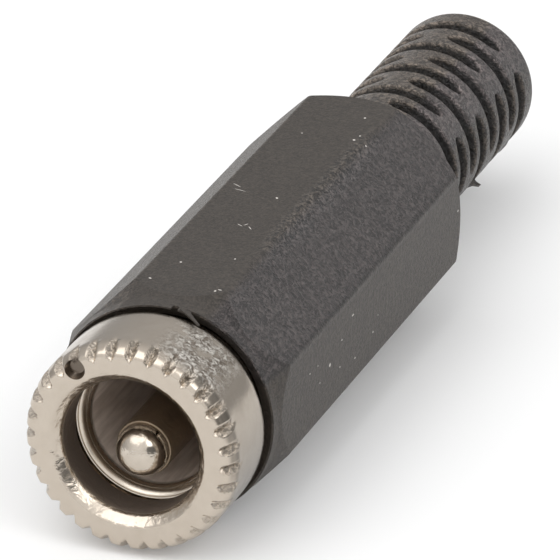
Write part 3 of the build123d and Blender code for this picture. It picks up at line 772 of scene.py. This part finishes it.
def make_relief():
    """Slotted tube of the strain relief: a closed wall whose slots are opened and bridged through, ends tapering."""
    rows = [LENGTH - END_SLOT_INSET - SLOT_PITCH * row for row in range(SLOT_ROWS)]
    edges = sorted(y + side * SLOT_WIDTH / 2 for y in rows for side in (-1, 1))
    end_r = RELIEF_R - RELIEF_END_ROUND
    outside = [(RELIEF_R, SHELL_REAR - 0.3)] + [(RELIEF_R, y) for y in edges]
    outside += arc(end_r, LENGTH - RELIEF_END_ROUND, RELIEF_END_ROUND, 0, 90, 6)
    inside = [(RELIEF_BORE_R + 0.2, LENGTH), (RELIEF_BORE_R, LENGTH - 0.2)]
    inside += [(RELIEF_BORE_R, y) for y in reversed(edges)] + [(RELIEF_BORE_R, SHELL_REAR - 0.3)]
    obj = turned("relief", outside + inside + [outside[0]], SHELL_STEPS)
    first = SLOT_MIDDLE - SLOT_SWEEP / 2
    obj.rotation_euler.y = math.radians(-first)
    apply_place(obj)
    edit(obj)
    slots = [(y, SLOT_MIDDLE + 60 * (row % 2) + 120 * slot) for row, y in enumerate(rows) for slot in range(3)]

    def beyond(point, slot):
        """How far the point lies from the slot's middle, along the connector and in degrees round it."""
        _, angle, y = polar(point)
        return abs(y - slot[0]), abs((angle - slot[1] + 180) % 360 - 180)

    step = 360 / SHELL_STEPS
    for row, y in enumerate(rows):
        row_slots = [slot for slot in slots if slot[0] == y]
        for steps_in, share in enumerate(SLOT_TAPER):
            def at_station(v):
                return any(abs(away - SLOT_WIDTH / 2) < 0.01 and abs(SLOT_SWEEP / 2 - turn - steps_in * step) < 0.1
                           for away, turn in (beyond(v.co, slot) for slot in row_slots))

            pick(obj, "verts", at_station)
            bpy.ops.transform.resize(value=(1, share, 1), center_override=(0, y, 0))

    def in_slot(point, slot, room=0.0):
        away, turn = beyond(point, slot)
        return away < SLOT_WIDTH / 2 + room and turn < SLOT_SWEEP / 2 + room

    walls = RELIEF_R, RELIEF_BORE_R
    pick(obj, "faces", lambda f: any(in_slot(middle(f), slot) for slot in slots)
         and any(abs(polar(middle(f))[0] - r) < 0.02 for r in walls))
    bpy.ops.mesh.delete(type="FACE")
    for slot in slots:
        pick(obj, "edges", lambda e: e.is_boundary and in_slot(middle(e), slot, 0.05))
        bpy.ops.mesh.bridge_edge_loops()
    close_seams()
    leave_edit()
    soften(obj, SLOT_EDGE_ROUND, 50)
    return obj


def make_shell(material):
    """One moulding: eight-sided cover, round lip, coned rear and slotted relief, joined and hollowed."""
    length = SHELL_REAR - FLATS_FRONT
    bpy.ops.object.select_all(action="DESELECT")
    bpy.ops.mesh.primitive_cylinder_add(
        vertices=8, radius=FLAT_R / math.cos(math.radians(22.5)), depth=length + 3,
        location=(0, FLATS_FRONT + length / 2, 0), rotation=(math.pi / 2, 0, 0),
    )
    obj = bpy.context.active_object
    obj.name = obj.data.name = "shell_moulded"
    apply_place(obj)
    obj.rotation_euler.y = math.radians(22.5)
    apply_place(obj)
    edit(obj)
    pick(obj, "edges", lambda e: abs(e.verts[0].co.y - e.verts[1].co.y) > 1)
    bpy.ops.mesh.bevel(offset=CORNER_ROUND, segments=3)
    leave_edit()
    outline = turned("outline", [
        (0, FLATS_FRONT - 1), (LIP_R - 0.15, FLATS_FRONT - 1), (LIP_R - 0.05, FLATS_FRONT - 0.95),
        (CORNER_R, FLATS_FRONT + 0.5), (CORNER_R, CONE_START - 0.05), (LIP_R, SHELL_REAR - REAR_BREAK),
        (LIP_R - REAR_BREAK, SHELL_REAR), (0, SHELL_REAR),
    ], SHELL_STEPS)
    combine(obj, outline, "INTERSECT")
    lip = turned("lip", [
        (0, SHELL_FRONT), (LIP_R - 0.03, SHELL_FRONT), (LIP_R, LIP_FRONT + 0.06), (LIP_R, FLATS_FRONT + 0.5),
        (0, FLATS_FRONT + 0.5),
    ], SHELL_STEPS)
    combine(obj, lip, "UNION")
    stub = turned("stub", [
        (0, SHELL_REAR - 1), (STUB_R, SHELL_REAR - 1), (STUB_R, THROAT_END), (0, THROAT_END)], SHELL_STEPS)
    combine(obj, stub, "UNION")
    lead_in_r = THREAD_BORE_R + SHELL_LEAD_IN
    hollow = turned("hollow", [
        (0, SHELL_FRONT - 1), (lead_in_r, SHELL_FRONT - 1), (lead_in_r, LIP_FRONT),
        (THREAD_BORE_R, LIP_FRONT + SHELL_LEAD_IN), (THREAD_BORE_R, THREAD_BORE_END), (HOLLOW_R, THREAD_BORE_END),
        (HOLLOW_R, HOLLOW_END), (THROAT_R, THROAT_START), (THROAT_R, THROAT_END + 1), (0, THROAT_END + 1),
    ], SHELL_STEPS)
    combine(obj, hollow, "DIFFERENCE")
    combine(obj, make_relief(), "UNION")
    trim_lip(obj)
    for flash in make_flash():
        combine(obj, flash, "UNION")
    finish_piece(obj, "shell", material, smooth=30, even_flats=True)


def block_on_lip(turn, y, width, length, depth):
    """A block through the lip's wall at this angle, with its small edges broken."""
    turn = math.radians(turn)
    bpy.ops.object.select_all(action="DESELECT")
    bpy.ops.mesh.primitive_cube_add(
        size=1, scale=(width, length, depth), rotation=(0, math.pi / 2 - turn, 0),
        location=(LIP_R * math.cos(turn), y, LIP_R * math.sin(turn)),
    )
    block = bpy.context.active_object
    apply_place(block)
    edit(block)
    bpy.ops.mesh.select_mode(type="EDGE")
    bpy.ops.mesh.select_all(action="SELECT")
    bpy.ops.mesh.bevel(offset=0.05, segments=1)
    leave_edit()
    return block


def trim_lip(obj):
    """The lip's front is trimmed back, but for its left part, which has a chip broken out near its end."""
    trim = turned("trim", [(3.9, 3.9), (5.3, 3.9), (5.3, LIP_FRONT), (3.9, LIP_FRONT), (3.9, 3.9)], SHELL_STEPS)
    for turn in KEPT_LIP_ANGLES:
        combine(trim, block_on_lip(turn, 4.2, KEPT_LIP_WIDTH, 2.0, 3.6), "DIFFERENCE")
    combine(obj, trim, "DIFFERENCE")
    combine(obj, block_on_lip(CHIP_ANGLE, 4.2, 0.3, 0.52, 1.6), "DIFFERENCE")


def draw_leaf(name, outline, thickness):
    """A thin leaf of flash, from the points of its outline."""
    leaf = draw_section(name, outline + outline[:1])
    close_outline(thickness)
    leave_edit()
    return leaf


def make_flash():
    """Thin moulding flash: a spur and a bump under the relief, and a sliver from the shell's lip over the gap."""
    outline = [(-0.62, 4.8), (-0.6, 4.25), (-0.3, 4.12), (0.1, 3.9), (0.5, 3.64), (0.56, 3.7), (0.22, 4.0),
               (-0.1, 4.3), (-0.2, 4.8)]
    sliver = draw_leaf("sliver", outline, 0.06)
    turn = math.radians(SLIVER_ANGLE)
    sliver.location = (LIP_R - 0.06) * math.cos(turn), 0, (LIP_R - 0.06) * math.sin(turn)
    sliver.rotation_euler.y = math.pi / 2 - turn
    apply_place(sliver)
    leaves = [sliver]
    for name, thickness, outline in (
        ("spur", 0.14, [
            (3.2, 34.7), (3.38, 34.95), (3.43, 35.6), (3.55, 36.05), (3.78, 36.36), (3.8, 36.46),
            (3.56, 36.38), (3.42, 36.42), (3.37, 36.6), (3.2, 36.7)]),
        ("bump", 0.3, [(3.2, 39.7), (3.4, 39.9), (3.47, 40.35), (3.46, 40.7), (3.4, 41.1), (3.2, 41.4)]),
    ):
        leaf = draw_leaf(name, outline, thickness)
        leaf.rotation_euler.y = math.radians(-FLASH_ANGLE)
        apply_place(leaf)
        leaves.append(leaf)
    return leaves


# Stage

def make_camera():
    azimuth, elevation = math.radians(CAMERA_AZIMUTH), math.radians(CAMERA_ELEVATION)
    back = Vector((
        math.sin(azimuth) * math.cos(elevation),
        -math.cos(azimuth) * math.cos(elevation),
        math.sin(elevation),
    ))
    data = bpy.data.cameras.new("camera")
    data.lens = CAMERA_LENS
    data.sensor_width = CAMERA_SENSOR
    data.clip_start, data.clip_end = 0.01, 10.0
    camera = bpy.data.objects.new("camera", data)
    bpy.context.scene.collection.objects.link(camera)
    camera.location = CAMERA_TARGET + back * CAMERA_DISTANCE * MM
    camera.rotation_euler = back.to_track_quat("Z", "Y").to_euler()
    bpy.context.scene.camera = camera


def make_floor():
    bpy.ops.object.select_all(action="DESELECT")
    bpy.ops.mesh.primitive_plane_add(size=3.0, location=(0, 0, 0))
    floor = bpy.context.active_object
    floor.name = "floor"
    floor.data.materials.append(studio_paper())


def add_softbox(name, direction, distance, size, power):
    data = bpy.data.lights.new(name, "AREA")
    data.shape = "SQUARE"
    data.size = size
    data.energy = power
    lamp = bpy.data.objects.new(name, data)
    bpy.context.scene.collection.objects.link(lamp)
    towards = Vector(direction).normalized()
    lamp.location = towards * distance
    lamp.rotation_euler = towards.to_track_quat("Z", "Y").to_euler()


def make_world():
    world = bpy.data.worlds.new("studio")
    bpy.context.scene.world = world
    world.use_nodes = True
    tree = world.node_tree
    tree.nodes.clear()
    place = add_node(tree, "ShaderNodeTexCoord")
    direction = add_node(tree, "ShaderNodeSeparateXYZ", Vector=place.outputs["Generated"])
    sky = add_node(tree, "ShaderNodeMapRange", Value=direction.outputs["Z"], From_Min=0.0, From_Max=0.9,
                   To_Min=0.4, To_Max=0.8)
    front = add_node(tree, "ShaderNodeMapRange", Value=direction.outputs["Y"], From_Min=-0.2, From_Max=-0.95,
                     To_Min=0.0, To_Max=0.55)
    total = add_node(tree, "ShaderNodeMath", {"operation": "ADD"}, i0=sky.outputs[0], i1=front.outputs[0])
    # A dark card at the right and a bright window above it, which show in the collar's notches and on the pin
    at_card = add_node(tree, "ShaderNodeVectorMath", {"operation": "DOT_PRODUCT"}, i0=place.outputs["Generated"],
                       i1=CARD_DIRECTION)
    card = add_node(tree, "ShaderNodeMapRange", {"interpolation_type": "SMOOTHSTEP"}, Value=at_card.outputs["Value"],
                    From_Min=0.93, From_Max=0.97, To_Min=1.0, To_Max=0.25)
    at_window = add_node(tree, "ShaderNodeVectorMath", {"operation": "DOT_PRODUCT"}, i0=place.outputs["Generated"],
                         i1=WINDOW_DIRECTION)
    window = add_node(tree, "ShaderNodeMapRange", {"interpolation_type": "SMOOTHSTEP"},
                      Value=at_window.outputs["Value"], From_Min=0.95, From_Max=0.97, To_Min=0.0, To_Max=2.0)
    total = add_node(tree, "ShaderNodeMath", {"operation": "MULTIPLY_ADD"}, i0=total.outputs[0], i1=card.outputs[0],
                     i2=window.outputs[0])
    light = add_node(tree, "ShaderNodeBackground", Color=(1, 1, 1, 1), Strength=total.outputs[0])
    add_node(tree, "ShaderNodeOutputWorld", Surface=light.outputs[0])


make_camera()
make_floor()
make_world()
add_softbox("key_softbox", KEY_DIRECTION, KEY_DISTANCE, KEY_SIZE, KEY_POWER)

make_collar(nickel_plate())
make_contact_sleeve(rolled_contact())
make_centre_pin(polished_pin())
make_shell(shell_plastic())
for node, material in (("earth_tag", tinned_brass()), ("insulator", bush_nylon()), ("fibre_washer", washer_fibre())):
    bpy.data.objects[node].material_slots[0].material = material
bpy.data.objects["pin_tag"].material_slots[0].material = bpy.data.objects["earth_tag"].material_slots[0].material

bpy.context.scene.view_settings.view_transform = "Standard"
